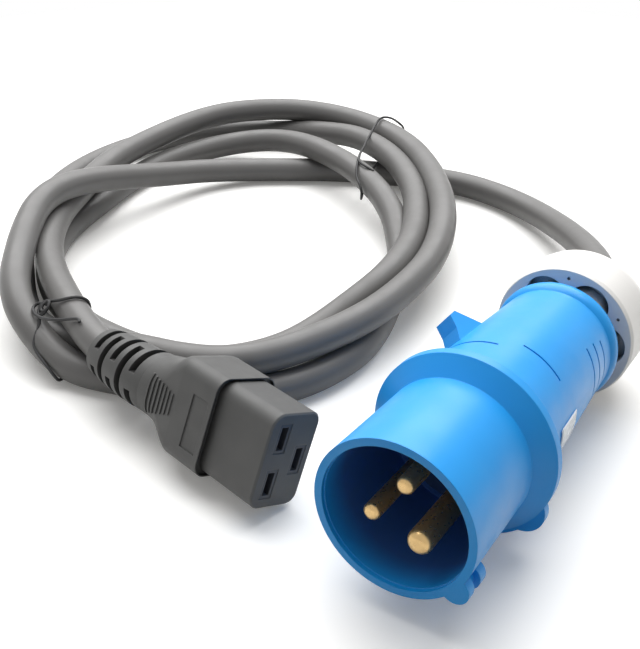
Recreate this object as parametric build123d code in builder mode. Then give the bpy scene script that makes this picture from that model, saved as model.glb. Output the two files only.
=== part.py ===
"""Moulded C19 connector on a coiled three-core cord that ends in a round three-pin plug.

Millimetres. X runs out of the connector's mating face, Z is up and the floor is Z = 0.
The connector lies turned about its own axis; the coil, its ties and the plug lie on the floor.
"""
import os
from math import atan2, cos, pi, radians, sin, tan

from build123d import *

os.makedirs("parts", exist_ok=True)

# Shared values
HALF_TURN = 180.0
FULL_TURN = 360.0
EPS = 0.01
CLEAR = 0.05
CORD_R = 5.2

# Connector: overall
FACE_X = 38.0
BOOT_END_X = -38.0
ROLL = 23.7
NOSE_W = 17.6
NOSE_H = 27.2
NOSE_LONG = 20.3
NOSE_POWER_R = 4.2
NOSE_EARTH_R = 3.4
FACE_EDGE = 0.5
COLLAR_W = 21.9
COLLAR_H = 29.0
COLLAR_R = 4.2
COLLAR_LONG = 14.2
COLLAR_X = FACE_X - NOSE_LONG
COLLAR_BACK_X = COLLAR_X - COLLAR_LONG
LEDGE_LIP = 0.35
LEDGE_DEEP = 1.1

# Connector: shoulder behind the collar, as (x, width, height, corner radius, side, rise)
SHOULDER = (
    (COLLAR_BACK_X, COLLAR_W, COLLAR_H, COLLAR_R, 0.0, 0.0),
    (0.4, 21.4, 27.6, 5.2, 0.0, 0.0),
    (-3.6, 20.2, 23.4, 7.0, -0.4, -0.2),
    (-8.0, 19.4, 20.4, 8.4, -0.9, -0.5),
    (-13.0, 18.9, 19.1, 9.1, -1.6, -0.8),
)

# Connector: boot, as (x, radius, side, rise) of round sections
BOOT = (
    (-13.0, 9.4, -1.6, -0.8),
    (-20.0, 9.2, -3.0, -0.4),
    (-29.0, 8.7, -3.8, 0.1),
    (BOOT_END_X, 7.7, -4.1, 0.2),
)
SLOT_FIRST_X = -17.2
SLOT_PITCH = 4.3
SLOT_COUNT = 5
SLOT_WIDE = 2.3
SLOT_BRIDGE = 5.4
SLOT_CORE_R = 5.8

# Connector: side panel and grip ribs
PANEL_X = 12.8
PANEL_UP = -1.0
PANEL_WIDE = 6.2
PANEL_TALL = 15.6
PANEL_DEEP = 0.35
RIB_BACK_X = -9.2
RIB_PITCH = 1.8
RIB_COUNT = 7
RIB_THICK = 0.7
RIB_PROUD = 0.4
RIB_SUNK = 0.6
RIB_LOW = -6.5
RIB_LOW_STEP = 0.55
RIB_TOP = 5.6
RIB_TOP_STEP = 0.4

# Connector: contacts, positions as (width-wise, height-wise) from the axis
POWER_ROW = -3.67
EARTH_ROW = 4.33
POWER_HALF_SPACING = 6.5
CONTACT_SPOTS = {
    "line": (POWER_ROW, POWER_HALF_SPACING),
    "neutral": (POWER_ROW, -POWER_HALF_SPACING),
    "earth": (EARTH_ROW, 0.0),
}
TOWER_W = 4.3
TOWER_H = 8.4
TOWER_LONG = 5.0
TOWER_SUNK = 0.15
SLOT_W = 2.4
SLOT_H = 6.5
CARRIER_BACK_X = 14.0
CARRIER_W = 12.8
CARRIER_H = 22.0
CARRIER_R = 1.2
POCKET_BACK_X = 17.0
POCKET_MARGIN = 0.35
SPRING_W = 2.7
SPRING_H = 6.1
SPRING_T = 0.55
SPRING_MOUTH_X = 31.5
BARREL_R = 1.55
BARREL_BACK_X = 9.0
CORE_R = 1.45
CORE_CIRCLE_R = 2.6
CORE_TURNS = {"line": 150.0, "neutral": 270.0, "earth": 30.0}

# Coil: plan outlines of the tied turns, seen from above
COIL_OUTSIDE = (
    (9.0, 38.0), (2.0, 26.0), (-9.5, 15.5), (-29.0, 3.5), (-45.0, -9.0), (-66.0, -16.0),
    (-104.0, -6.0), (-140.0, 12.0), (-174.0, 40.0), (-198.0, 78.0), (-206.0, 116.0), (-201.0, 156.0),
    (-180.0, 186.0), (-145.0, 199.0), (-108.0, 199.5), (-70.0, 184.0), (-34.0, 157.0), (-7.0, 118.0),
    (6.0, 78.0),
)
COIL_INSIDE = (
    (-23.0, 54.0), (-37.0, 28.0), (-70.0, 11.0), (-112.0, 29.0), (-131.0, 48.0), (-138.0, 94.0),
    (-132.0, 134.0), (-105.0, 160.0), (-62.0, 136.0), (-27.0, 107.0), (-21.0, 78.0),
)
TIE_PROUD = 1.0
TIE_SUNK = 0.3
COIL_LOW = TIE_PROUD
COIL_TOP = 26.5
COIL_EDGE = 8.5
SADDLE_FLOOR = 8.4
SADDLE_BACK_X = -52.0
SADDLE_FRONT_X = -12.0
SADDLE_SIDE = 9.6
SADDLE_REACH = 40.0

# Ties: where each crosses the coil, and the heading along the cord there
TIE_SPOTS = {"tie_left": ((-78.0, 0.0), -14.0), "tie_right": ((-101.0, 175.0), 24.0)}
TIE_WIDE = 1.4

# Plug: place of the shroud's mouth on the floor plan, and the turns of the plug
MOUTH_X = 81.1
MOUTH_Y = -6.5
PLUG_HEADING = -76.5
KEY_TURN = -36.0

# Plug: housing, all depths measured back from the mouth
MOUTH_R = 20.8
SHROUD_R = 20.3
MOUTH_LIP = 2.0
SHROUD_WALL = 1.7
MOUTH_STEP_R = MOUTH_R - MOUTH_LIP
SHROUD_BORE_R = SHROUD_R - SHROUD_WALL
MOUTH_STEP_DEEP = 1.2
SHROUD_FLOOR = 35.0
GUARD_ROOT = 32.0
GUARD_FRONT = 36.0
GUARD_R = 25.2
GUARD_THICK = 2.6
GRIP_FRONT_R = 20.9
GRIP = ((50.0, 20.2), (70.0, 19.3), (86.0, 18.4), (96.0, 17.8))
BEAD_FRONT = 97.0
BEAD_R = 19.0
BEAD_BACK = 102.5
NECK_R = 15.2
NECK_BACK = 111.0
HOUSING_WALL = 1.6
HOUSING_BORE_R = NECK_R - HOUSING_WALL
SEAT_R = 17.0
SEAT_BACK = 50.0
# The guard is a little deeper underneath, where the plug lies on it
FOOT_R = 26.0
FOOT_TURN = -132.0
FOOT_SPAN = 85.0
LUG_SPOT = 21.2
LUG_R = 6.7
# Key under the mouth: two rounded lobes on a low ridge, each as (depth, length)
KEY_SPOT = 20.6
KEY_R = 3.6
KEY_LOBES = ((0.0, 2.8), (6.0, 3.0))
KEY_RIDGE_R = 2.0
KEY_BACK = 9.0
CATCH = ((60.0, 18.4), (63.6, 22.6), (65.4, 26.4), (68.2, 26.4), (74.5, 18.0))
CATCH_WIDE = 6.4
LINE_DEEP = 0.35
LINE_WIDE = 0.7
# Arc grooves round the grip, as (depth, radius there, first angle, span)
GRIP_LINES = (
    (54.5, 20.0, 128.0, 46.0), (59.0, 19.8, 75.0, 38.0),
    (81.0, 18.7, -4.0, 78.0), (86.0, 18.4, -4.0, 76.0), (91.0, 18.1, -4.0, 72.0),
)
PATCH_FRONT = 57.0
PATCH_BACK = 84.0
PATCH_LOW_R = 18.7
PATCH_PROUD = 0.3
PATCH_START = -28.0
PATCH_SPAN = 48.0

# Plug: pins and what holds them
PIN_CIRCLE_R = 7.8
POWER_PIN_R = 2.25
EARTH_PIN_R = 3.15
POWER_TIP = 2.6
EARTH_TIP = 0.5
TIP_ROUND_SHARE = 0.62
SHANK_STEP = 0.5
# Each pin as (radius, depth of its tip, turn from the key)
PINS = {
    "line": (POWER_PIN_R, POWER_TIP, 120.0),
    "neutral": (POWER_PIN_R, POWER_TIP, 240.0),
    "earth": (EARTH_PIN_R, EARTH_TIP, 0.0),
}
TERMINAL_R = 3.9
TERMINAL_BACK = 59.0
WIRE_BORE_R = 1.5
WIRE_BORE_DEEP = 7.0
SCREW_R = 1.4
SCREW_SPOT = 54.0
SCREW_TOP = 4.9
SCREW_SLOT = 0.6
SCREW_SLOT_DEEP = 0.7

# Plug: cap over the cord's end
CAP_FRONT = 106.0
CAP_FACE_R = 20.9
CAP_R = 21.4
CAP_EDGE = 1.3
CAP_SHOULDER = 121.0
CAP_TAPER = 0.12
CAP_DOME = ((128.0, 18.2), (132.2, 12.6))
CAP_BACK = 134.0
CAP_BACK_R = 8.2
CAP_ROOM_R = 11.0
CAP_ROOM_BACK = 123.0
WINDOW_SPOT = 12.9
WINDOW_R = 6.4
WINDOW_IN_R = 15.9
WINDOW_DEEP = 5.0
WINDOW_COUNT = 6
WINDOW_TURN = 38.0
DIMPLE_R = 0.5
DIMPLE_CIRCLE_R = 18.5
DIMPLE_DEEP = 0.6
SEAL_FRONT = 123.0
SEAL_BACK = 131.0
SEAL_R = 8.4
CORD_END = 124.0

# Cord from the coil to the plug: hand-placed points, the last lies on the plug's axis
COIL_ENTRY = (-88.0, 182.0, 9.5)
PLUG_RUN = ((-50.0, 200.4, 5.6), (-12.0, 194.0, 7.0), (20.0, 175.0, 13.5))
PLUG_LAST_RUN = 20.0
BEND_SHARE = 0.45

# Directions and planes
AHEAD = (1, 0, 0)
ROLLED_LEFT = Vector(0, cos(radians(ROLL)), -sin(radians(ROLL)))
AXIS_Z = (COLLAR_H / 2 - COLLAR_R) * cos(radians(ROLL)) + (COLLAR_W / 2 - COLLAR_R) * sin(radians(ROLL)) + COLLAR_R


def across(x, side=0.0, rise=0.0):
    """Plane across the connector at x, turned with it and facing the way it plugs in."""
    return Plane(origin=(x, side, AXIS_Z + rise), x_dir=ROLLED_LEFT, z_dir=AHEAD)


def between(stations, x):
    """Values of a list of sections at x, on a straight line between the two that enclose it."""
    for near, far in zip(stations, stations[1:]):
        if far[0] <= x:
            share = (near[0] - x) / (near[0] - far[0])
            return [first + share * (last - first) for first, last in zip(near[1:], far[1:])]
    return list(stations[-1][1:])


# The plug leans back until its guard and its cap both touch the floor
heading = radians(PLUG_HEADING)
guard_back = GUARD_FRONT + GUARD_THICK
pitch = atan2(FOOT_R - CAP_R, CAP_SHOULDER - guard_back)
MOUTH = (MOUTH_X, MOUTH_Y, FOOT_R * cos(pitch) + guard_back * sin(pitch))
OUT_OF_MOUTH = Vector(cos(pitch) * cos(heading), cos(pitch) * sin(heading), sin(pitch))
LEVEL_RIGHT = Vector(-sin(heading), cos(heading), 0)
PLUG = Plane(origin=MOUTH, x_dir=LEVEL_RIGHT, z_dir=OUT_OF_MOUTH).moved(Rot(0, 0, KEY_TURN))
PLUG_AXIS = Axis(origin=MOUTH, direction=OUT_OF_MOUTH)
INTO_PLUG = OUT_OF_MOUTH * -1


def side_plane(turn=0.0):
    """Half-plane of the plug: local X is the depth behind the mouth, local Y the radius at that turn."""
    spoke = PLUG.moved(Rot(0, 0, turn)).x_dir
    return Plane(origin=MOUTH, x_dir=INTO_PLUG, z_dir=INTO_PLUG.cross(spoke))


# Leads of the connector, from each crimp to the cord's end in the boot
def core_path(name):
    """Centre line of one core: leaves its crimp along the axis and closes up towards the cord."""
    spot = CONTACT_SPOTS[name]
    turn = radians(CORE_TURNS[name])
    last_side, last_rise = BOOT[-1][2], BOOT[-1][3]
    start = across(BARREL_BACK_X).from_local_coords((spot[0], spot[1], 0))
    finish = across(BOOT_END_X, last_side, last_rise).from_local_coords(
        (CORE_CIRCLE_R * cos(turn), CORE_CIRCLE_R * sin(turn), 0)
    )
    back = Vector(AHEAD) * -1
    return Spline(start, finish, tangents=(back, back))


leads = {}
for core_name in CONTACT_SPOTS:
    with BuildPart() as core:
        with BuildLine() as centre_line:
            add(core_path(core_name))
        with BuildSketch(Plane(origin=centre_line.line @ 0, z_dir=centre_line.line % 0)):
            Circle(CORE_R)
        sweep()
    core.part.label = core_name + "_lead"
    leads[core_name] = core.part
    export_step(core.part, "parts/" + core_name + "_lead.step")

# Contacts: a folded spring receptacle and its crimp barrel
contacts = {}
for contact_name, contact_spot in CONTACT_SPOTS.items():
    with BuildPart() as contact:
        with BuildSketch(across(POCKET_BACK_X)):
            with Locations(contact_spot):
                Rectangle(SPRING_W, SPRING_H)
                Rectangle(SPRING_W - 2 * SPRING_T, SPRING_H + EPS, mode=Mode.SUBTRACT)
        extrude(amount=SPRING_MOUTH_X - POCKET_BACK_X)
        with BuildSketch(across(POCKET_BACK_X)):
            with Locations(contact_spot):
                Rectangle(SPRING_W, SPRING_H)
        extrude(amount=SPRING_T)
        with BuildSketch(across(BARREL_BACK_X)):
            with Locations(contact_spot):
                Circle(BARREL_R)
        extrude(amount=POCKET_BACK_X - BARREL_BACK_X)
    contact.part.label = contact_name + "_contact"
    contacts[contact_name] = contact.part
    export_step(contact.part, "parts/" + contact_name + "_contact.step")

# Contact carrier: a block with three towers that reach the mating face
with BuildPart() as contact_carrier:
    with BuildSketch(across(CARRIER_BACK_X)):
        RectangleRounded(CARRIER_W, CARRIER_H, CARRIER_R)
    extrude(amount=FACE_X - TOWER_LONG - CARRIER_BACK_X)
    with BuildSketch(across(FACE_X - TOWER_LONG)):
        with Locations(*CONTACT_SPOTS.values()):
            Rectangle(TOWER_W, TOWER_H)
    extrude(amount=TOWER_LONG - TOWER_SUNK)
    with BuildSketch(across(POCKET_BACK_X)):
        with Locations(*CONTACT_SPOTS.values()):
            Rectangle(SPRING_W + POCKET_MARGIN, SPRING_H + POCKET_MARGIN)
    extrude(amount=SPRING_MOUTH_X + POCKET_MARGIN - POCKET_BACK_X, mode=Mode.SUBTRACT)
    with BuildSketch(across(POCKET_BACK_X)):
        with Locations(*CONTACT_SPOTS.values()):
            Rectangle(SLOT_W, SLOT_H)
    extrude(amount=FACE_X - POCKET_BACK_X, mode=Mode.SUBTRACT)
    with BuildSketch(across(CARRIER_BACK_X)):
        with Locations(*CONTACT_SPOTS.values()):
            Circle(BARREL_R)
    extrude(amount=POCKET_BACK_X - CARRIER_BACK_X, mode=Mode.SUBTRACT)
contact_carrier.part.label = "contact_carrier"
export_step(contact_carrier.part, "parts/contact_carrier.step")

# Connector body: nose, collar, shoulder and slotted boot in one moulding
with BuildPart() as connector_body:
    with BuildSketch(across(COLLAR_BACK_X)):
        RectangleRounded(COLLAR_W, COLLAR_H, COLLAR_R)
    extrude(amount=COLLAR_LONG)
    for station_x, wide, tall, corner, side, rise in SHOULDER:
        with BuildSketch(across(station_x, side, rise)):
            RectangleRounded(wide, tall, corner)
    loft()
    with BuildSketch(across(COLLAR_X)):
        RectangleRounded(COLLAR_W - 2 * LEDGE_LIP, COLLAR_H - 2 * LEDGE_LIP, COLLAR_R - LEDGE_LIP)
    extrude(amount=-LEDGE_DEEP, mode=Mode.SUBTRACT)
    with BuildSketch(across(COLLAR_X - LEDGE_DEEP)) as nose_profile:
        Rectangle(NOSE_W, NOSE_H)
        fillet(nose_profile.vertices().group_by(Axis.X)[0], radius=NOSE_POWER_R)
        fillet(nose_profile.vertices().group_by(Axis.X)[-1], radius=NOSE_EARTH_R)
    extrude(amount=NOSE_LONG + LEDGE_DEEP)
    chamfer(connector_body.faces().sort_by(Axis.X)[-1].outer_wire().edges(), length=FACE_EDGE)
    # Boot with staggered relief slots
    for boot_x, boot_r, boot_side, boot_rise in BOOT:
        with BuildSketch(across(boot_x, boot_side, boot_rise)):
            Circle(boot_r)
    loft()
    for slot in range(SLOT_COUNT):
        slot_x = SLOT_FIRST_X - slot * SLOT_PITCH
        slot_side, slot_rise = between(BOOT, slot_x)[1:]
        with BuildSketch(across(slot_x, slot_side, slot_rise)):
            Circle(BOOT[0][1] + SLOT_WIDE)
            Circle(SLOT_CORE_R, mode=Mode.SUBTRACT)
            if slot % 2:
                Rectangle(SLOT_BRIDGE, FULL_TURN, mode=Mode.SUBTRACT)
            else:
                Rectangle(FULL_TURN, SLOT_BRIDGE, mode=Mode.SUBTRACT)
        extrude(amount=SLOT_WIDE / 2, both=True, mode=Mode.SUBTRACT)
    # Grip ribs round the power side, each one shorter than the one behind it
    for rib in range(RIB_COUNT):
        rib_x = RIB_BACK_X + rib * RIB_PITCH
        rib_low = RIB_LOW + rib * RIB_LOW_STEP
        rib_top = RIB_TOP - rib * RIB_TOP_STEP
        wide, tall, corner, side, rise = between(SHOULDER, rib_x)
        with BuildSketch(across(rib_x, side, rise)):
            RectangleRounded(wide + 2 * RIB_PROUD, tall + 2 * RIB_PROUD, corner + RIB_PROUD)
            RectangleRounded(wide - 2 * RIB_SUNK, tall - 2 * RIB_SUNK, corner - RIB_SUNK, mode=Mode.SUBTRACT)
            with Locations((0, rib_low)):
                Rectangle(wide, rib_top - rib_low, align=(Align.MAX, Align.MIN), mode=Mode.INTERSECT)
        extrude(amount=RIB_THICK)
    # Plain recessed panel on the power side
    panel_face = Plane(
        origin=across(PANEL_X).from_local_coords((-COLLAR_W / 2, PANEL_UP, 0)), x_dir=AHEAD, z_dir=ROLLED_LEFT * -1
    )
    with BuildSketch(panel_face):
        Rectangle(PANEL_WIDE, PANEL_TALL)
    extrude(amount=-PANEL_DEEP, mode=Mode.SUBTRACT)
    # Rooms for the carrier, the crimps and the cores
    add(contact_carrier.part, mode=Mode.SUBTRACT)
    with BuildSketch(across(CARRIER_BACK_X)):
        RectangleRounded(CARRIER_W, CARRIER_H, CARRIER_R)
    extrude(amount=FACE_X - TOWER_LONG - CARRIER_BACK_X, mode=Mode.SUBTRACT)
    with BuildSketch(across(FACE_X - TOWER_LONG)):
        with Locations(*CONTACT_SPOTS.values()):
            Rectangle(TOWER_W, TOWER_H)
    extrude(amount=TOWER_LONG, mode=Mode.SUBTRACT)
    with BuildSketch(across(BARREL_BACK_X)):
        with Locations(*CONTACT_SPOTS.values()):
            Circle(BARREL_R)
    extrude(amount=CARRIER_BACK_X - BARREL_BACK_X, mode=Mode.SUBTRACT)
    add(list(leads.values()), mode=Mode.SUBTRACT)
connector_body.part.label = "connector_body"
export_step(connector_body.part, "parts/connector_body.step")

# Coil: the outer shape of the tied turns, with a saddle where the boot lies over it
with BuildPart() as cord_coil:
    with BuildSketch(Plane.XY.offset(COIL_LOW)):
        with BuildLine():
            Spline(*COIL_OUTSIDE, periodic=True)
        make_face()
        with BuildLine():
            Spline(*COIL_INSIDE, periodic=True)
        make_face(mode=Mode.SUBTRACT)
    extrude(amount=COIL_TOP - COIL_LOW)
    fillet(cord_coil.faces().filter_by(GeomType.PLANE).edges(), radius=COIL_EDGE)
    with BuildSketch(Plane.XY.offset(SADDLE_FLOOR)):
        with Locations((SADDLE_FRONT_X, SADDLE_SIDE)):
            Rectangle(SADDLE_FRONT_X - SADDLE_BACK_X, SADDLE_REACH, align=(Align.MAX, Align.MAX))
    extrude(amount=COIL_TOP, mode=Mode.SUBTRACT)

# Ties: bands let into the coil where their planes cross it
ties = {}
for tie_name, (tie_spot, tie_heading) in TIE_SPOTS.items():
    run_way = Vector(cos(radians(tie_heading)), sin(radians(tie_heading)), 0)
    tie_plane = Plane(origin=(tie_spot[0], tie_spot[1], COIL_TOP / 2), x_dir=Vector(0, 0, 1).cross(run_way), z_dir=run_way)
    crossings = section(cord_coil.part, section_by=tie_plane).faces()
    spread = tie_plane.to_local_coords(crossings.sort_by_distance(tie_plane.origin)[0]).bounding_box()
    with BuildPart() as tie:
        with BuildSketch(tie_plane):
            with Locations(spread.center()):
                RectangleRounded(spread.size.X + 2 * TIE_PROUD, spread.size.Y + 2 * TIE_PROUD, COIL_EDGE + TIE_PROUD)
                RectangleRounded(
                    spread.size.X - 2 * TIE_SUNK, spread.size.Y - 2 * TIE_SUNK, COIL_EDGE - TIE_SUNK, mode=Mode.SUBTRACT
                )
        extrude(amount=TIE_WIDE / 2, both=True)
    tie.part.label = tie_name
    ties[tie_name] = tie.part
    export_step(tie.part, "parts/" + tie_name + ".step")

with cord_coil:
    add(list(ties.values()), mode=Mode.SUBTRACT)
cord_coil.part.label = "cord_coil"
export_step(cord_coil.part, "parts/cord_coil.step")

# Short length of cord between the boot and the coil
with BuildPart() as cord_lead_run:
    with BuildSketch(across(BOOT_END_X, BOOT[-1][2], BOOT[-1][3])):
        Circle(CORD_R)
    extrude(amount=SADDLE_BACK_X - BOOT_END_X)
cord_lead_run.part.label = "cord_lead_run"
export_step(cord_lead_run.part, "parts/cord_lead_run.step")


def bend_radii(points):
    """Radius for each inside point: a fixed share of the shorter run over the tangent of half the turn."""
    radii = []
    for before, here, after in zip(points, points[1:], points[2:]):
        run_in = Vector(*here) - Vector(*before)
        run_out = Vector(*after) - Vector(*here)
        half_turn = radians(run_in.get_angle(run_out)) / 2
        radii.append(BEND_SHARE * min(run_in.length, run_out.length) / tan(half_turn))
    return radii


# Cord from the coil to the plug's cap
cord_end = Vector(*MOUTH) + INTO_PLUG * CORD_END
last_bend = Vector(*MOUTH) + INTO_PLUG * (CAP_BACK + PLUG_LAST_RUN)
run_points = [COIL_ENTRY, *PLUG_RUN, tuple(last_bend), tuple(cord_end)]
run_radii = bend_radii(run_points)
with BuildPart() as cord_plug_run:
    with BuildLine() as run_line:
        FilletPolyline(*run_points, radius=run_radii)
    with BuildSketch(Plane(origin=run_line.line @ 1, z_dir=run_line.line % 1)):
        Circle(CORD_R)
    sweep()
    swept_volume = cord_plug_run.part.volume
    add(cord_coil.part, mode=Mode.SUBTRACT)
cord_plug_run.part.label = "cord_plug_run"
export_step(cord_plug_run.part, "parts/cord_plug_run.step")
run_length = sum(edge.length for edge in run_line.edges())
print("bend radii", run_radii)
print("tube volume over section times length", swept_volume / (pi * CORD_R**2 * run_length))

# Plug housing: shroud, splash guard, grip and neck
with BuildPart() as plug_housing:
    with BuildSketch(side_plane()):
        with BuildLine():
            Polyline(
                (0, MOUTH_STEP_R),
                (0, MOUTH_R),
                (GUARD_ROOT, SHROUD_R),
                (GUARD_FRONT, GUARD_R),
                (GUARD_FRONT + GUARD_THICK, GUARD_R),
                (GUARD_FRONT + GUARD_THICK, GRIP_FRONT_R),
            )
            Spline((GUARD_FRONT + GUARD_THICK, GRIP_FRONT_R), *GRIP)
            Polyline(GRIP[-1], (BEAD_FRONT, GRIP[-1][1]))
            ThreePointArc((BEAD_FRONT, GRIP[-1][1]), ((BEAD_FRONT + BEAD_BACK) / 2, BEAD_R), (BEAD_BACK, GRIP[-1][1]))
            Polyline(
                (BEAD_BACK, GRIP[-1][1]),
                (BEAD_BACK, NECK_R),
                (NECK_BACK, NECK_R),
                (NECK_BACK, HOUSING_BORE_R),
                (SEAT_BACK, HOUSING_BORE_R),
                (SEAT_BACK, SEAT_R),
                (SHROUD_FLOOR, SEAT_R),
                (SHROUD_FLOOR, SHROUD_BORE_R),
                (MOUTH_STEP_DEEP, SHROUD_BORE_R),
                (MOUTH_STEP_DEEP, MOUTH_STEP_R),
                (0, MOUTH_STEP_R),
            )
        make_face()
    revolve(axis=PLUG_AXIS)
    # Foot under the guard, and its rounded lug in line with the key
    with BuildSketch(side_plane(FOOT_TURN - KEY_TURN)):
        with Locations((GUARD_FRONT, GRIP_FRONT_R)):
            Rectangle(GUARD_THICK, FOOT_R - GRIP_FRONT_R, align=(Align.MIN, Align.MIN))
    revolve(axis=PLUG_AXIS, revolution_arc=FOOT_SPAN)
    with BuildSketch(PLUG.offset(-GUARD_FRONT)):
        with Locations((LUG_SPOT, 0)):
            Circle(LUG_R)
        Circle(GRIP_FRONT_R, mode=Mode.SUBTRACT)
    extrude(amount=-GUARD_THICK)
    # Key under the mouth
    with BuildSketch(PLUG):
        with Locations((KEY_SPOT, 0)):
            Circle(KEY_RIDGE_R)
        Circle(SHROUD_R - MOUTH_LIP / 2, mode=Mode.SUBTRACT)
    extrude(amount=-KEY_BACK)
    for lobe_deep, lobe_long in KEY_LOBES:
        with BuildSketch(PLUG.offset(-lobe_deep)):
            with Locations((KEY_SPOT, 0)):
                Circle(KEY_R)
            Circle(SHROUD_R - MOUTH_LIP / 2, mode=Mode.SUBTRACT)
        extrude(amount=-lobe_long)
    # Catch for the socket's lid, opposite the key
    with BuildSketch(side_plane(HALF_TURN)):
        Polygon(*CATCH, align=None)
    extrude(amount=CATCH_WIDE / 2, both=True)
    # Arc lines round the grip
    for line_deep, line_r, line_turn, line_span in GRIP_LINES:
        with BuildSketch(side_plane(line_turn)):
            with Locations((line_deep, line_r)):
                Rectangle(LINE_WIDE, 2 * LINE_DEEP)
        revolve(axis=PLUG_AXIS, revolution_arc=line_span, mode=Mode.SUBTRACT)
plug_housing.part.label = "plug_housing"
export_step(plug_housing.part, "parts/plug_housing.step")

# Pins: solid, round-tipped, each with a terminal barrel behind the carrier
pins = {}
for pin_name, (pin_r, pin_tip, pin_turn) in PINS.items():
    spoke_plane = PLUG.moved(Rot(0, 0, pin_turn))
    barrel_centre = spoke_plane.from_local_coords((PIN_CIRCLE_R, 0, -SCREW_SPOT))
    screw_plane = Plane(origin=barrel_centre, x_dir=INTO_PLUG, z_dir=spoke_plane.x_dir)
    with BuildPart() as pin:
        with BuildSketch(spoke_plane.offset(-TERMINAL_BACK)):
            with Locations((PIN_CIRCLE_R, 0)):
                Circle(pin_r)
        extrude(amount=TERMINAL_BACK - pin_tip)
        fillet(pin.faces().sort_by(PLUG_AXIS)[-1].edges(), radius=TIP_ROUND_SHARE * pin_r)
        with BuildSketch(spoke_plane.offset(-SEAT_BACK)):
            with Locations((PIN_CIRCLE_R, 0)):
                Circle(pin_r + SHANK_STEP)
        extrude(amount=SEAT_BACK - SHROUD_FLOOR)
        with BuildSketch(spoke_plane.offset(-TERMINAL_BACK)):
            with Locations((PIN_CIRCLE_R, 0)):
                Circle(TERMINAL_R)
        extrude(amount=TERMINAL_BACK - SEAT_BACK)
        with BuildSketch(spoke_plane.offset(-TERMINAL_BACK)):
            with Locations((PIN_CIRCLE_R, 0)):
                Circle(WIRE_BORE_R)
        extrude(amount=WIRE_BORE_DEEP, mode=Mode.SUBTRACT)
        with BuildSketch(screw_plane):
            Circle(SCREW_R)
        extrude(amount=TERMINAL_R + CLEAR, mode=Mode.SUBTRACT)
    pin.part.label = pin_name + "_pin"
    pins[pin_name] = pin.part
    export_step(pin.part, "parts/" + pin_name + "_pin.step")

    with BuildPart() as screw:
        with BuildSketch(screw_plane.offset(WIRE_BORE_R)):
            Circle(SCREW_R)
        extrude(amount=SCREW_TOP - WIRE_BORE_R)
        with BuildSketch(screw_plane.offset(SCREW_TOP)):
            Rectangle(2 * SCREW_TOP, SCREW_SLOT)
        extrude(amount=-SCREW_SLOT_DEEP, mode=Mode.SUBTRACT)
    screw.part.label = pin_name + "_terminal_screw"
    export_step(screw.part, "parts/" + pin_name + "_terminal_screw.step")

    # Core from the terminal to the end of the cord's jacket
    core_start = spoke_plane.from_local_coords((PIN_CIRCLE_R, 0, WIRE_BORE_DEEP - TERMINAL_BACK))
    core_bend = spoke_plane.from_local_coords((PIN_CIRCLE_R, 0, -TERMINAL_BACK))
    core_finish = spoke_plane.from_local_coords((CORE_CIRCLE_R, 0, -CORD_END))
    with BuildPart() as plug_core:
        with BuildLine() as core_line:
            Line(core_start, core_bend)
            Spline(core_bend, core_finish, tangents=(INTO_PLUG, INTO_PLUG))
        with BuildSketch(Plane(origin=core_start, z_dir=INTO_PLUG)):
            Circle(CORE_R)
        sweep()
    plug_core.part.label = pin_name + "_plug_core"
    export_step(plug_core.part, "parts/" + pin_name + "_plug_core.step")

# Pin carrier: an insulating disc at the shroud's floor
with BuildPart() as pin_carrier:
    with BuildSketch(PLUG.offset(-SEAT_BACK)):
        Circle(SEAT_R - CLEAR)
    extrude(amount=SEAT_BACK - SHROUD_FLOOR)
    add(list(pins.values()), mode=Mode.SUBTRACT)
pin_carrier.part.label = "pin_carrier"
export_step(pin_carrier.part, "parts/pin_carrier.step")

# Bare patch on the grip
with BuildPart() as label_patch:
    with BuildSketch(side_plane(PATCH_START)):
        with BuildLine():
            Polyline(
                (PATCH_FRONT, PATCH_LOW_R),
                (PATCH_FRONT, GRIP[0][1]),
                (GRIP[1][0], GRIP[1][1] + PATCH_PROUD),
                (PATCH_BACK, GRIP[2][1] + PATCH_PROUD),
                (PATCH_BACK, GRIP[3][1] - PATCH_PROUD),
                (PATCH_FRONT, PATCH_LOW_R),
            )
        make_face()
    revolve(axis=PLUG_AXIS, revolution_arc=PATCH_SPAN)
    add(plug_housing.part, mode=Mode.SUBTRACT)
label_patch.part.label = "label_patch"
export_step(label_patch.part, "parts/label_patch.step")

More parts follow.
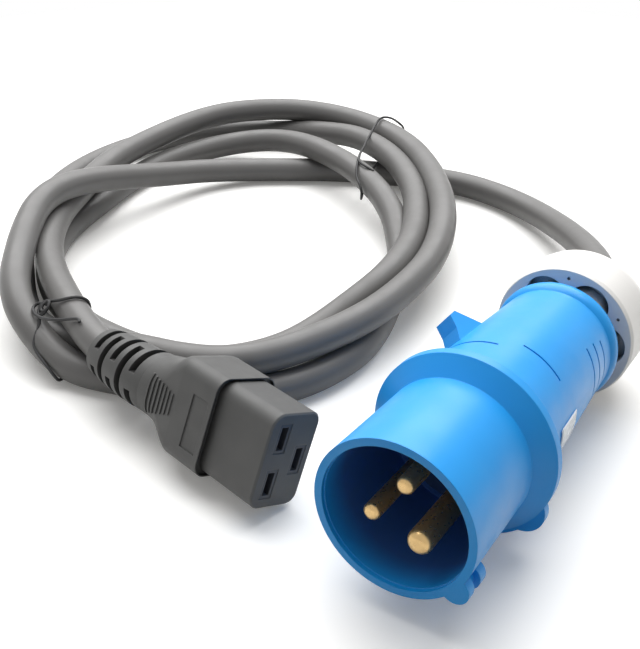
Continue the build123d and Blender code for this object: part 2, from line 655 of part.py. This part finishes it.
# Cap: a windowed ring that screws over the neck and grips the cord
with BuildPart() as gland_cap:
    with BuildSketch(side_plane()):
        with BuildLine():
            Polyline(
                (SEAL_FRONT, SEAL_R),
                (SEAL_FRONT, CAP_ROOM_R),
                (NECK_BACK, CAP_ROOM_R),
                (NECK_BACK, NECK_R + CLEAR),
                (CAP_FRONT, NECK_R + CLEAR),
                (CAP_FRONT, CAP_FACE_R),
                (CAP_FRONT + CAP_EDGE, CAP_R),
                (CAP_SHOULDER, CAP_R),
            )
            Spline((CAP_SHOULDER, CAP_R), *CAP_DOME, (CAP_BACK, CAP_BACK_R), tangents=((1, -CAP_TAPER), (0, -1)))
            Polyline(
                (CAP_BACK, CAP_BACK_R),
                (CAP_BACK, CORD_R + CLEAR),
                (SEAL_BACK, CORD_R + CLEAR),
                (SEAL_BACK, SEAL_R),
                (SEAL_FRONT, SEAL_R),
            )
        make_face()
    revolve(axis=PLUG_AXIS)
    with BuildSketch(PLUG.offset(-CAP_FRONT)):
        with PolarLocations(WINDOW_SPOT, WINDOW_COUNT, start_angle=WINDOW_TURN):
            Circle(WINDOW_R)
        Circle(WINDOW_IN_R, mode=Mode.SUBTRACT)
    extrude(amount=-WINDOW_DEEP, mode=Mode.SUBTRACT)
    with BuildSketch(PLUG.offset(-CAP_FRONT)):
        with PolarLocations(DIMPLE_CIRCLE_R, WINDOW_COUNT, start_angle=WINDOW_TURN + HALF_TURN / WINDOW_COUNT):
            Circle(DIMPLE_R)
    extrude(amount=-DIMPLE_DEEP, mode=Mode.SUBTRACT)
gland_cap.part.label = "gland_cap"
export_step(gland_cap.part, "parts/gland_cap.step")

# Seal between the cap and the cord
with BuildPart() as cord_seal:
    with BuildSketch(PLUG.offset(-SEAL_FRONT)):
        Circle(SEAL_R - CLEAR)
        Circle(CORD_R, mode=Mode.SUBTRACT)
    extrude(amount=SEAL_FRONT - SEAL_BACK)
cord_seal.part.label = "cord_seal"
export_step(cord_seal.part, "parts/cord_seal.step")
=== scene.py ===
"""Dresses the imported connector, coiled cord and plug for a studio picture. Metres, in the CAD frame."""

import math

import bpy
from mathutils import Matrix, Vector


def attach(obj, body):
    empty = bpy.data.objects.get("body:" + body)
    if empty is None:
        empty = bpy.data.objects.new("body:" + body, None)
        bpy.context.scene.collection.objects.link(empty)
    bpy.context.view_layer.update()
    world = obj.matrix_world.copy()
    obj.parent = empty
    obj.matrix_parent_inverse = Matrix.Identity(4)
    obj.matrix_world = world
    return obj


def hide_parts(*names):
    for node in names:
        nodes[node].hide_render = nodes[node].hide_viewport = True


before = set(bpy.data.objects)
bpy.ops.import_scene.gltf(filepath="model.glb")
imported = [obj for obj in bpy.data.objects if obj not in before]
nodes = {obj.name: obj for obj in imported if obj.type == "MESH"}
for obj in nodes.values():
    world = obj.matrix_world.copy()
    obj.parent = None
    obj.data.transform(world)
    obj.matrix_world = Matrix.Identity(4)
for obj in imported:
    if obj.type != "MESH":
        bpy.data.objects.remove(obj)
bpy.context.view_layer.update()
MM = 0.001

# Camera: place and aim of the photograph's viewpoint. Lengths are in millimetres
CAMERA_AT = (191.9, -135.1, 181.5)
CAMERA_HEADING = (-0.7218, 0.6921)
CAMERA_DOWN = math.radians(31.14)
FOCAL_PIXELS = 1000.0
LONG_SIDE_PIXELS = 649
SENSOR = 36.0
CLIP_NEAR = 5.0
CLIP_FAR = 20000.0

camera_data = bpy.data.cameras.new("camera")
camera_data.sensor_width = SENSOR
camera_data.lens = FOCAL_PIXELS * SENSOR / LONG_SIDE_PIXELS
camera_data.clip_start = CLIP_NEAR * MM
camera_data.clip_end = CLIP_FAR * MM
camera = bpy.data.objects.new("camera", camera_data)
bpy.context.scene.collection.objects.link(camera)
camera.location = Vector(CAMERA_AT) * MM
aim = Vector((*(v * math.cos(CAMERA_DOWN) for v in CAMERA_HEADING), -math.sin(CAMERA_DOWN)))
camera.rotation_mode = "QUATERNION"
camera.rotation_quaternion = aim.to_track_quat("-Z", "Y")
bpy.context.scene.camera = camera

# Cord: one route from the boot, round the coil and on to the plug's cap, in millimetres
CORD_R = 5.2
CORD_STEPS = 8
CORD_AROUND = 10
CORD_EXIT = (-38, -4.1, 16.54)
ROUTE = (
    # out of the boot and over the inner left side
    CORD_EXIT, (-45, -3.9, 17.1), (-54.5, -2.2, 17.9), (-65.2, 0.4, 18.2), (-77, 4.3, 17.8),
    (-93.5, 10.2, 16.5), (-110, 17.8, 16), (-125.5, 28.2, 16), (-139, 41, 16), (-151, 57, 16),
    (-162, 72, 16),
    # first turn, on top of the others
    (-172, 90, 16), (-179, 112, 16), (-182, 135, 17), (-180, 155, 18), (-171, 173, 18), (-157, 187, 18),
    (-136, 194.5, 18), (-112, 195, 18), (-86, 187, 19), (-61, 172, 19), (-38.6, 153.4, 19),
    (-21.4, 133.6, 18.2), (-9.5, 113.4, 16.8), (-4, 95, 15.7), (0, 77, 15.7), (1, 62, 15.7), (0, 49, 15.6),
    (-2.4, 37, 15.1), (-7.2, 26.5, 14.4), (-14.5, 18, 13.9), (-24, 11.8, 13.7), (-34, 8.2, 13),
    (-44, 5.8, 11.3), (-53.5, 2.8, 8.6), (-64, -0.2, 6),
    # second turn, low on the outer left
    (-76, -2.8, 5.3), (-90, -2.6, 5.3), (-105, 2.5, 5.3), (-122, 11.5, 5.3), (-140, 21.5, 5.3),
    (-158, 35.5, 5.3), (-174.5, 53, 5.3), (-187, 70, 5.3), (-195.5, 88, 5.3), (-200, 107, 5.3),
    (-200.3, 125, 5.3), (-197.5, 141, 5.3), (-191.8, 155.5, 5.3),
    # and up across the back
    (-182.5, 168, 5.3), (-170, 177.5, 5.8), (-155.6, 183.5, 8.2), (-138.6, 184.2, 12), (-113, 183.6, 16.6),
    (-84, 175, 17), (-57, 157.5, 16.6), (-38.2, 138.2, 15.8), (-25.7, 121.2, 15.8), (-17.5, 105, 15.7),
    (-13.6, 91, 14.4), (-14, 78.5, 11), (-15, 66.5, 7.4), (-15.6, 55, 5.5),
    # third turn, low on the inside
    (-16.8, 43.5, 5.3), (-20.5, 33, 5.3), (-27, 24, 5.3), (-36, 17.4, 5.3), (-47, 13.2, 5.3),
    (-59.5, 10.2, 5.3), (-74, 8.5, 5.3), (-91, 10.5, 5.3), (-109, 16.5, 5.3), (-126, 26, 5.3),
    (-139, 38, 5.3), (-149, 54, 5.3), (-157, 70, 5.3), (-165.5, 87, 5.3),
    # up across the back again and down at the right
    (-171.8, 104, 5.3), (-174.8, 119.5, 5.4), (-173.5, 133.5, 5.9), (-168, 145.5, 7.4), (-158.8, 155, 9.6),
    (-146.5, 160.8, 12), (-131.5, 162, 14.3), (-114, 160, 15.9), (-90.9, 155.4, 16.3),
    (-68.1, 147.4, 15.3), (-51.6, 138.8, 12.8), (-39.8, 129.6, 9.2), (-28.8, 119.4, 6.6),
    (-20.3, 106.5, 5.3), (-11.8, 93, 5.3), (-4, 79.5, 5.3), (1.4, 67, 5.3), (3.4, 55, 5.3), (3.2, 43, 5.3),
    (0.6, 32, 5.3), (-4.8, 22.5, 5.3), (-13, 14.5, 5.3), (-23, 8.2, 5.3), (-33, 2, 5.3), (-43, -3.8, 5.3),
    (-52.3, -8, 5.4),
    # up and over at the outer left
    (-62, -10.3, 7.6), (-72, -10.8, 12), (-83, -9.3, 16.4), (-94.5, -4, 19.4), (-106, 4.6, 21.5),
    (-119.5, 15.2, 23), (-131.7, 27.7, 25.5), (-138, 41.5, 26.3), (-143, 59.5, 22.6), (-147, 79, 17),
    # across the inside of the coil, under the others at its right, and on to the plug
    (-149, 100, 11.5), (-148, 119.5, 7.8), (-139.5, 138, 5.5), (-127, 152, 5.3), (-112, 167, 5.3),
    (-94, 180, 5.3), (-77, 190, 5.3), (-60, 196.5, 5.3), (-42, 197.5, 5.3), (-25, 193.5, 6.5),
    (-5, 183.5, 9.5), (14, 170, 13.5), (28, 158, 16.5), (39, 146, 18.8), (45.5, 135, 20),
    (49.87, 123.6, 20.64), (52.2, 113.9, 21.2),
)


def nurbs_tube(name, points, radius, steps, around):
    """A round tube along one open spline that takes the points, in millimetres, as its control points."""
    data = bpy.data.curves.new(name, "CURVE")
    data.dimensions = "3D"
    spline = data.splines.new("NURBS")
    spline.points.add(len(points) - 1)
    for control, place in zip(spline.points, points):
        control.co = (*(v * MM for v in place), 1.0)
        control.radius = radius * MM
    spline.order_u = 3
    spline.use_endpoint_u = True
    data.resolution_u = steps
    # each point's radius is the tube's own, so the bevel is a unit circle
    data.bevel_depth = 1.0
    data.bevel_resolution = around
    data.use_fill_caps = True
    made = bpy.data.objects.new(name, data)
    bpy.context.scene.collection.objects.link(made)
    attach(made, "root")
    return made


cord = nurbs_tube("cord", ROUTE, CORD_R, CORD_STEPS, CORD_AROUND)
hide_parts("cord_lead_run", "cord_coil", "cord_plug_run")

# Ties: one bent wire each, twisted into a knot on the left and hooked together on the right
WIRE_R = 0.52
WIRE_STEPS = 4
WIRE_AROUND = 3
LEFT_LOOP = (
    # up the bundle's outer side to the knot
    (-61, 4, 0.7), (-60, -6, 0.7), (-55.5, -12.5, 1.2), (-54, -14.6, 4), (-58.5, -15.3, 8),
    (-62.6, -15.4, 9.8), (-65, -15, 11.8), (-66.5, -12.9, 14.2), (-67.9, -10.7, 15.6), (-69.6, -9, 17.2),
    # three rounds of the knot
    (-71.6, -8.2, 18.6), (-72, -6.2, 20.6), (-70, -4.8, 21.8), (-68, -6, 21.2), (-67.6, -8.2, 19.4),
    (-69.4, -9.4, 18.2), (-71.2, -8.2, 19.6), (-71.2, -6, 21.4), (-69, -5, 22.4), (-67.4, -6.4, 21.4),
    (-67.6, -8, 20), (-69.6, -8.4, 19.6), (-70.6, -6.6, 21.4),
    # over the cord that leaves the boot and down inside the coil
    (-68.8, -4.2, 22), (-65.8, -3.2, 23), (-63.6, -1.2, 24), (-62.4, 1, 24), (-61.6, 2.9, 23.2),
    (-62, 4.9, 21), (-63.2, 5.9, 17.5), (-64.6, 5.4, 13.5), (-65.4, 5, 9), (-65, 5, 4), (-63, 5, 0.7),
    (-61, 4, 0.7),
)
LEFT_TAIL = (
    (-69, -6, 21), (-72, -6, 20.8), (-74.6, -7, 19.6), (-74, -9, 18.8), (-70, -10.3, 19),
    (-65, -10.8, 19.8), (-60, -9.8, 21), (-56, -7.7, 21.9), (-52.8, -5.9, 22.9), (-50.8, -5.2, 23.3),
    (-49.9, -5.9, 22.9),
)
RIGHT_LOOP = (
    # under the upper turns, up their outer side and over the top one
    (-84.3, 156.5, 10), (-91, 167, 10.9), (-96.5, 178, 10.9), (-99.5, 189, 11.2), (-101, 197.4, 12.4),
    (-101, 199.4, 16.5), (-100.4, 198.8, 20.8), (-100.5, 195.4, 23.6), (-104.8, 196.4, 24.2),
    (-108.2, 196.4, 24.2), (-109.4, 193.5, 24.6), (-109.2, 190.6, 23.8), (-107.8, 187.2, 22.6),
    # across the next turn and round the innermost one
    (-103.2, 179.6, 21.9), (-99.2, 172.5, 21.3), (-94.6, 166.2, 21.3), (-90.6, 160, 21.9),
    (-86.5, 154.8, 22.1), (-82.7, 149.8, 21.6), (-79.9, 146.6, 20.1), (-77.5, 144.4, 18.3),
    (-74.3, 142.8, 17.2), (-71.9, 141.8, 14.7), (-72.5, 142, 10.9), (-76.7, 146.8, 9.2),
    (-84.3, 156.5, 10),
)
RIGHT_TAIL = (
    (-84.9, 152.6, 22.2), (-81.7, 150.8, 22.1), (-78.7, 150.4, 21.8), (-76.1, 150.8, 21.1),
    (-74.3, 151.2, 20.5),
)


def tie_wire(name, points):
    """One length of a tie's wire."""
    return nurbs_tube(name, points, WIRE_R, WIRE_STEPS, WIRE_AROUND)


tie_left = tie_wire("tie_left_wire", LEFT_LOOP)
tie_left_tail = tie_wire("tie_left_tail", LEFT_TAIL)
tie_right = tie_wire("tie_right_wire", RIGHT_LOOP)
tie_right_tail = tie_wire("tie_right_tail", RIGHT_TAIL)
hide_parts("tie_left")
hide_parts("tie_right")

# Plug: the middle of its mouth, in metres, and the way in along its axis
PLUG_MOUTH = (0.0811, -0.0065, 0.028111)
PLUG_INWARD = (-0.233082, 0.970858, -0.055738)

# Film on the side of the grip, in millimetres: depths behind the mouth and angles above level
FILM_FRONT = 51.5
FILM_BACK = 63.5
FILM_LOW = math.radians(-60.0)
FILM_HIGH = math.radians(9.0)
FILM_PROUD = 0.2
FILM_THICK = 0.15
FILM_ROWS = 6
FILM_COLUMNS = 28
# The grip's taper, as its radius at its front and what it loses with each millimetre of depth
GRIP_FRONT = 50.0
GRIP_FRONT_R = 20.2
GRIP_TAPER = 0.045


def grip_film():
    """A thin bare film that follows the grip's surface."""
    mouth = Vector(PLUG_MOUTH)
    axis = Vector(PLUG_INWARD)
    right = Vector((axis.y, -axis.x, 0.0)).normalized()
    up = right.cross(axis)
    points = []
    for row in range(FILM_ROWS + 1):
        depth = FILM_FRONT + (FILM_BACK - FILM_FRONT) * row / FILM_ROWS
        radius = GRIP_FRONT_R - GRIP_TAPER * (depth - GRIP_FRONT) + FILM_PROUD
        for column in range(FILM_COLUMNS + 1):
            turn = FILM_LOW + (FILM_HIGH - FILM_LOW) * column / FILM_COLUMNS
            away = right * math.cos(turn) + up * math.sin(turn)
            points.append(mouth + axis * depth * MM + away * radius * MM)
    width = FILM_COLUMNS + 1
    quads = []
    for row in range(FILM_ROWS):
        for column in range(FILM_COLUMNS):
            corner = row * width + column
            quads.append((corner, corner + 1, corner + width + 1, corner + width))
    data = bpy.data.meshes.new("grip_film")
    data.from_pydata(points, [], quads)
    data.shade_smooth()
    made = bpy.data.objects.new("grip_film", data)
    bpy.context.scene.collection.objects.link(made)
    shell = made.modifiers.new("thickness", "SOLIDIFY")
    shell.thickness = FILM_THICK * MM
    shell.offset = 0.0
    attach(made, "root")
    return made


film_piece = grip_film()
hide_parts("label_patch")


# Materials: what they share
SHADER = "Principled BSDF"


def material(name, color, roughness, metallic=0.0):
    """A new node material, its tree and its shader node."""
    made = bpy.data.materials.new(name)
    made.use_nodes = True
    tree = made.node_tree
    shader = tree.nodes[SHADER]
    shader.inputs["Base Color"].default_value = (*color, 1.0)
    shader.inputs["Roughness"].default_value = roughness
    shader.inputs["Metallic"].default_value = metallic
    return made, tree, shader


def object_place(tree):
    """The point on the surface, in the frame."""
    return tree.nodes.new("ShaderNodeTexCoord").outputs["Object"]


def feed(tree, value, socket):
    """Gives a node's input a link from another node, or a constant."""
    if isinstance(value, bpy.types.NodeSocket):
        tree.links.new(value, socket)
    else:
        socket.default_value = value


def arithmetic(tree, operation, first, second):
    """A number worked out from two."""
    node = tree.nodes.new("ShaderNodeMath")
    node.operation = operation
    feed(tree, first, node.inputs[0])
    feed(tree, second, node.inputs[1])
    return node.outputs[0]


def vector_arithmetic(tree, operation, first, second=None):
    """A vector, or a number for a length or a dot product, worked out from one vector or two."""
    node = tree.nodes.new("ShaderNodeVectorMath")
    node.operation = operation
    feed(tree, first, node.inputs[0])
    if second is not None:
        feed(tree, second, node.inputs[1])
    return node.outputs["Value" if operation in ("DOT_PRODUCT", "LENGTH") else "Vector"]


def scaled(tree, vector, factor):
    """A vector or colour times a number."""
    node = tree.nodes.new("ShaderNodeVectorMath")
    node.operation = "SCALE"
    feed(tree, vector, node.inputs[0])
    feed(tree, factor, node.inputs["Scale"])
    return node.outputs["Vector"]


def noise(tree, place, scale, detail=4.0):
    """Noise in the frame: scale is in repeats per metre."""
    node = tree.nodes.new("ShaderNodeTexNoise")
    node.inputs["Scale"].default_value = scale
    node.inputs["Detail"].default_value = detail
    tree.links.new(place, node.inputs["Vector"])
    return node.outputs["Fac"]


def remap(tree, value, low, high, start=0.3, end=0.7):
    """A value spread from low to high as the input goes from start to end."""
    node = tree.nodes.new("ShaderNodeMapRange")
    node.inputs["From Min"].default_value = start
    node.inputs["From Max"].default_value = end
    node.inputs["To Min"].default_value = low
    node.inputs["To Max"].default_value = high
    tree.links.new(value, node.inputs["Value"])
    return node.outputs["Result"]


def mix(tree, factor, first, second):
    """A colour between two, each a constant or another node's."""
    node = tree.nodes.new("ShaderNodeMix")
    node.data_type = "RGBA"
    for color, socket in ((first, node.inputs[6]), (second, node.inputs[7])):
        feed(tree, (*color, 1.0) if isinstance(color, tuple) else color, socket)
    tree.links.new(factor, node.inputs[0])
    return node.outputs[2]


def base_color(shader):
    """What the shader's colour is linked from."""
    return shader.inputs["Base Color"].links[0].from_socket


def bump(tree, shader, height, distance, strength):
    """Adds relief of that depth, in metres, to the shader, on top of what it has."""
    node = tree.nodes.new("ShaderNodeBump")
    node.inputs["Strength"].default_value = strength
    node.inputs["Distance"].default_value = distance
    tree.links.new(height, node.inputs["Height"])
    if shader.inputs["Normal"].is_linked:
        tree.links.new(shader.inputs["Normal"].links[0].from_socket, node.inputs["Normal"])
    tree.links.new(node.outputs["Normal"], shader.inputs["Normal"])


def rounded(tree, shader, radius, samples=4):
    """Softens the light on edges by that radius, in metres."""
    node = tree.nodes.new("ShaderNodeBevel")
    node.samples = samples
    node.inputs["Radius"].default_value = radius
    tree.links.new(node.outputs["Normal"], shader.inputs["Normal"])


# How shut in a place is, as the share of open directions, where the painted crevice shade ends and starts
CREVICE_SHUT = 0.25
CREVICE_OPEN = 0.85
CREVICE_SAMPLES = 6


def painted_crevice_shade(made, reach, darkest):
    """Paints shade into the colour: darkens it to that share of itself in slots and gaps narrower than
    reach, in metres.
    """
    tree = made.node_tree
    shader = tree.nodes[SHADER]
    hollow = tree.nodes.new("ShaderNodeAmbientOcclusion")
    hollow.samples = CREVICE_SAMPLES
    hollow.only_local = True
    hollow.inputs["Distance"].default_value = reach
    shade = remap(tree, hollow.outputs["AO"], darkest, 1.0, CREVICE_SHUT, CREVICE_OPEN)
    tree.links.new(scaled(tree, base_color(shader), shade), shader.inputs["Base Color"])


def seen_directly(tree):
    """1 for what the camera sees by itself, in a gloss or through glass, and 0 for other light."""
    rays = tree.nodes.new("ShaderNodeLightPath").outputs
    with_gloss = arithmetic(tree, "MAXIMUM", rays["Is Camera Ray"], rays["Is Glossy Ray"])
    return arithmetic(tree, "MAXIMUM", with_gloss, rays["Is Transmission Ray"])


# Moulded plastic: repeats per metre, spread of the roughness, and how the grain is made
CLOUD_SCALE = 60.0
GLOSS_SCALE = 140.0
GLOSS_SPREAD = 0.06
GRAIN_DETAIL = 2.0
GRAIN_STRENGTH = 0.5


def moulded(name, dark, light, roughness, grain=0.03, grain_scale=2600.0, edge=0.3):
    """Cloudy colour, uneven gloss, soft edges and a fine grain. Grain and edge are in millimetres."""
    made, tree, shader = material(name, light, roughness)
    place = object_place(tree)
    if edge:
        rounded(tree, shader, edge * MM)
    tree.links.new(mix(tree, noise(tree, place, CLOUD_SCALE), dark, light), shader.inputs["Base Color"])
    gloss = noise(tree, place, GLOSS_SCALE)
    uneven = remap(tree, gloss, roughness - GLOSS_SPREAD, roughness + GLOSS_SPREAD)
    tree.links.new(uneven, shader.inputs["Roughness"])
    bump(tree, shader, noise(tree, place, grain_scale, GRAIN_DETAIL), grain * MM, GRAIN_STRENGTH)
    return made


# Metal: repeats per metre, the tarnish as a share of the colour, the streaks' depth in millimetres,
# and how far the roughness goes below and above its value
TARNISH_SCALE = 220.0
TARNISH_SHARE = 0.72
STREAK_SCALE = 900.0
STREAK_DETAIL = 1.0
STREAK_DEEP = 0.003
STREAK_STRENGTH = 0.15
SMOOTHER = 0.05
ROUGHER = 0.08
METAL_EDGE_SAMPLES = 8


def metal(name, color, roughness, metallic=1.0, edge=0.0):
    """Turned or rolled metal with fine streaks. Edge is in millimetres."""
    made, tree, shader = material(name, color, roughness, metallic)
    place = object_place(tree)
    if edge:
        rounded(tree, shader, edge * MM, METAL_EDGE_SAMPLES)
    darker = tuple(v * TARNISH_SHARE for v in color)
    tree.links.new(mix(tree, noise(tree, place, TARNISH_SCALE), darker, color), shader.inputs["Base Color"])
    uneven = remap(tree, noise(tree, place, STREAK_SCALE), roughness - SMOOTHER, roughness + ROUGHER)
    tree.links.new(uneven, shader.inputs["Roughness"])
    streaks = noise(tree, place, STREAK_SCALE, STREAK_DETAIL)
    bump(tree, shader, streaks, STREAK_DEEP * MM, STREAK_STRENGTH)
    return made


# Painted shade inside the shroud, in millimetres from the mouth and from the plug's axis
THROAT_FROM = 0.8
THROAT_DARK = 10.0
THROAT_END = 40.0
THROAT_END_SOFT = 0.5
THROAT_R = 19.4
THROAT_R_SOFT = 0.3
THROAT_SHADE_COLOR = (0.045, 0.15, 0.46)


def painted_throat_shade(made):
    """Paints shade into the colour inside the shroud, from the mouth down."""
    tree = made.node_tree
    shader = tree.nodes[SHADER]
    from_mouth = vector_arithmetic(tree, "SUBTRACT", object_place(tree), PLUG_MOUTH)
    depth = vector_arithmetic(tree, "DOT_PRODUCT", from_mouth, PLUG_INWARD)
    on_axis = scaled(tree, PLUG_INWARD, depth)
    radius = vector_arithmetic(tree, "LENGTH", vector_arithmetic(tree, "SUBTRACT", from_mouth, on_axis))
    near_axis = remap(tree, radius, 1.0, 0.0, (THROAT_R - THROAT_R_SOFT) * MM, THROAT_R * MM)
    below_mouth = remap(tree, depth, 0.0, 1.0, THROAT_FROM * MM, THROAT_DARK * MM)
    above_end = remap(tree, depth, 1.0, 0.0, (THROAT_END - THROAT_END_SOFT) * MM, THROAT_END * MM)
    inside = arithmetic(tree, "MULTIPLY", arithmetic(tree, "MULTIPLY", near_axis, below_mouth), above_end)
    tree.links.new(mix(tree, inside, base_color(shader), THROAT_SHADE_COLOR), shader.inputs["Base Color"])


# Materials of the cord and the ties
jacket = moulded(
    "jacket", (0.112, 0.109, 0.106), (0.138, 0.135, 0.131), 0.45, grain=0.02, grain_scale=1800.0, edge=0.0,
)
tie_black = moulded("tie_black", (0.010, 0.010, 0.011), (0.018, 0.018, 0.019), 0.55, grain=0.02, edge=0.0)

# Materials of the connector, and the reach and depth of the shade painted into its slots
SLOT_REACH = 4.0
SLOT_SHADE = 0.25
housing_black = moulded("housing_black", (0.060, 0.060, 0.059), (0.078, 0.078, 0.076), 0.55)
# painted shade: the boot's slots and gaps are darkened in the colour itself
painted_crevice_shade(housing_black, SLOT_REACH * MM, SLOT_SHADE)
carrier_black = moulded("carrier_black", (0.030, 0.034, 0.042), (0.042, 0.047, 0.056), 0.5)
contact_brass = metal("contact_brass", (0.78, 0.58, 0.28), 0.34)

# Materials of the plug, its gloss, and the reach and depth of the shade painted into the cap's windows
PLUG_SPECULAR = 0.38
WINDOW_REACH = 3.0
WINDOW_SHADE = 0.12
plug_blue = moulded("plug_blue", (0.008, 0.30, 0.79), (0.014, 0.36, 0.87), 0.36, grain=0.02)
plug_blue.node_tree.nodes[SHADER].inputs["Specular IOR Level"].default_value = PLUG_SPECULAR
# painted shade: the blue turns to a dark navy inside the shroud
painted_throat_shade(plug_blue)
# The pin carrier's own blue, made a darker navy that partly paints the shade deep in the shroud
carrier_blue_and_shade = moulded("carrier_blue_and_shade", (0.030, 0.07, 0.18), (0.036, 0.085, 0.22), 0.5)
cap_grey = moulded("cap_grey", (0.76, 0.745, 0.72), (0.84, 0.825, 0.80), 0.42)
# painted shade: the cap's windows and pockets are darkened in the colour itself
painted_crevice_shade(cap_grey, WINDOW_REACH * MM, WINDOW_SHADE)
film = moulded("film", (0.84, 0.90, 0.94), (0.90, 0.94, 0.97), 0.25, grain=0.01)
seal_black = moulded("seal_black", (0.010, 0.010, 0.010), (0.016, 0.016, 0.016), 0.7)
pin_brass = metal("pin_brass", (0.74, 0.50, 0.22), 0.3, metallic=0.75, edge=1.2)
screw_steel = metal("screw_steel", (0.60, 0.60, 0.61), 0.3)

# Materials of the cores at both ends
line_brown = moulded("line_brown", (0.045, 0.022, 0.014), (0.065, 0.030, 0.018), 0.4)
neutral_blue = moulded("neutral_blue", (0.02, 0.09, 0.42), (0.03, 0.12, 0.5), 0.4)
earth_green = moulded("earth_green", (0.12, 0.38, 0.06), (0.16, 0.48, 0.09), 0.4)

cord.data.materials.append(jacket)
film_piece.data.materials.append(film)
for wire in (tie_left, tie_left_tail, tie_right, tie_right_tail):
    wire.data.materials.append(tie_black)

FINISHES = {
    "connector_body": housing_black,
    "contact_carrier": carrier_black,
    "line_contact": contact_brass,
    "neutral_contact": contact_brass,
    "earth_contact": contact_brass,
    "line_lead": line_brown,
    "neutral_lead": neutral_blue,
    "earth_lead": earth_green,
    "plug_housing": plug_blue,
    "pin_carrier": carrier_blue_and_shade,
    "line_pin": pin_brass,
    "neutral_pin": pin_brass,
    "earth_pin": pin_brass,
    "line_terminal_screw": screw_steel,
    "neutral_terminal_screw": screw_steel,
    "earth_terminal_screw": screw_steel,
    "gland_cap": cap_grey,
    "cord_seal": seal_black,
    "line_plug_core": line_brown,
    "neutral_plug_core": neutral_blue,
    "earth_plug_core": earth_green,
}
for name, finish in FINISHES.items():
    for slot in nodes[name].material_slots:
        slot.material = finish

# Floor, in metres: a pale disc that keeps the object's shadow and throws little light back on it
FLOOR_MIDDLE = (-0.05, 0.09)
FLOOR_R = 0.45
FLOOR_Z = -0.0002
FLOOR_SIDES = 96
FLOOR_SEEN = (0.95, 0.945, 0.93)
FLOOR_BOUNCE = (0.42, 0.42, 0.41)
FLOOR_GLOW = (1.0, 0.985, 0.95)
FLOOR_GLOW_STRENGTH = 0.13
FLOOR_ROUGHNESS = 0.9
FLOOR_SPECULAR = 0.1


def floor_disc():
    """A flat disc of one face."""
    turns = [2 * math.pi * step / FLOOR_SIDES for step in range(FLOOR_SIDES)]
    middle_x, middle_y = FLOOR_MIDDLE
    rim = [(middle_x + FLOOR_R * math.cos(turn), middle_y + FLOOR_R * math.sin(turn), 0) for turn in turns]
    data = bpy.data.meshes.new("floor")
    data.from_pydata(rim, [], [tuple(range(FLOOR_SIDES))])
    made = bpy.data.objects.new("floor", data)
    bpy.context.scene.collection.objects.link(made)
    made.location.z = FLOOR_Z
    return made


def floor_finish():
    """Nearly white with a slight glow where it is seen, and grey for the light that it throws back."""
    made, tree, shader = material("floor_paint", FLOOR_SEEN, FLOOR_ROUGHNESS)
    shader.inputs["Specular IOR Level"].default_value = FLOOR_SPECULAR
    seen = seen_directly(tree)
    tree.links.new(mix(tree, seen, FLOOR_BOUNCE, FLOOR_SEEN), shader.inputs["Base Color"])
    shader.inputs["Emission Color"].default_value = (*FLOOR_GLOW, 1.0)
    glow = arithmetic(tree, "MULTIPLY", seen, FLOOR_GLOW_STRENGTH)
    tree.links.new(glow, shader.inputs["Emission Strength"])
    return made


floor = floor_disc()
floor.data.materials.append(floor_finish())

# World: white where it is seen, and a soft light that is brightest from above, behind and the left
BRIGHT_SIDE = (-0.50, 0.50, 0.707)
DIM_STRENGTH = 0.14
BRIGHT_STRENGTH = 0.55
DIM_FACING = -0.5
BRIGHT_FACING = 0.8

world = bpy.data.worlds.new("world")
bpy.context.scene.world = world
world.use_nodes = True
sky = world.node_tree
sky_light = sky.nodes["Background"]
direction = sky.nodes.new("ShaderNodeTexCoord").outputs["Generated"]
facing = vector_arithmetic(sky, "DOT_PRODUCT", direction, BRIGHT_SIDE)
studio = remap(sky, facing, DIM_STRENGTH, BRIGHT_STRENGTH, DIM_FACING, BRIGHT_FACING)
strength = sky.nodes.new("ShaderNodeMix")
sky.links.new(seen_directly(sky), strength.inputs[0])
sky.links.new(studio, strength.inputs[2])
strength.inputs[3].default_value = 1.0
sky.links.new(strength.outputs[0], sky_light.inputs["Strength"])
sky_light.inputs["Color"].default_value = (1.0, 1.0, 1.0, 1.0)

# Key light, in metres and watts
KEY_AT = (-0.42, 0.42, 0.95)
KEY_TARGET = (-0.02, 0.06, 0.0)
KEY_SIZE = 1.4
KEY_POWER = 24.0

key_data = bpy.data.lights.new("key", "AREA")
key_data.shape = "SQUARE"
key_data.size = KEY_SIZE
key_data.energy = KEY_POWER
key = bpy.data.objects.new("key", key_data)
bpy.context.scene.collection.objects.link(key)
key.location = KEY_AT
key.rotation_mode = "QUATERNION"
key.rotation_quaternion = (Vector(KEY_TARGET) - Vector(KEY_AT)).to_track_quat("-Z", "Y")

bpy.context.scene.view_settings.view_transform = "Standard"
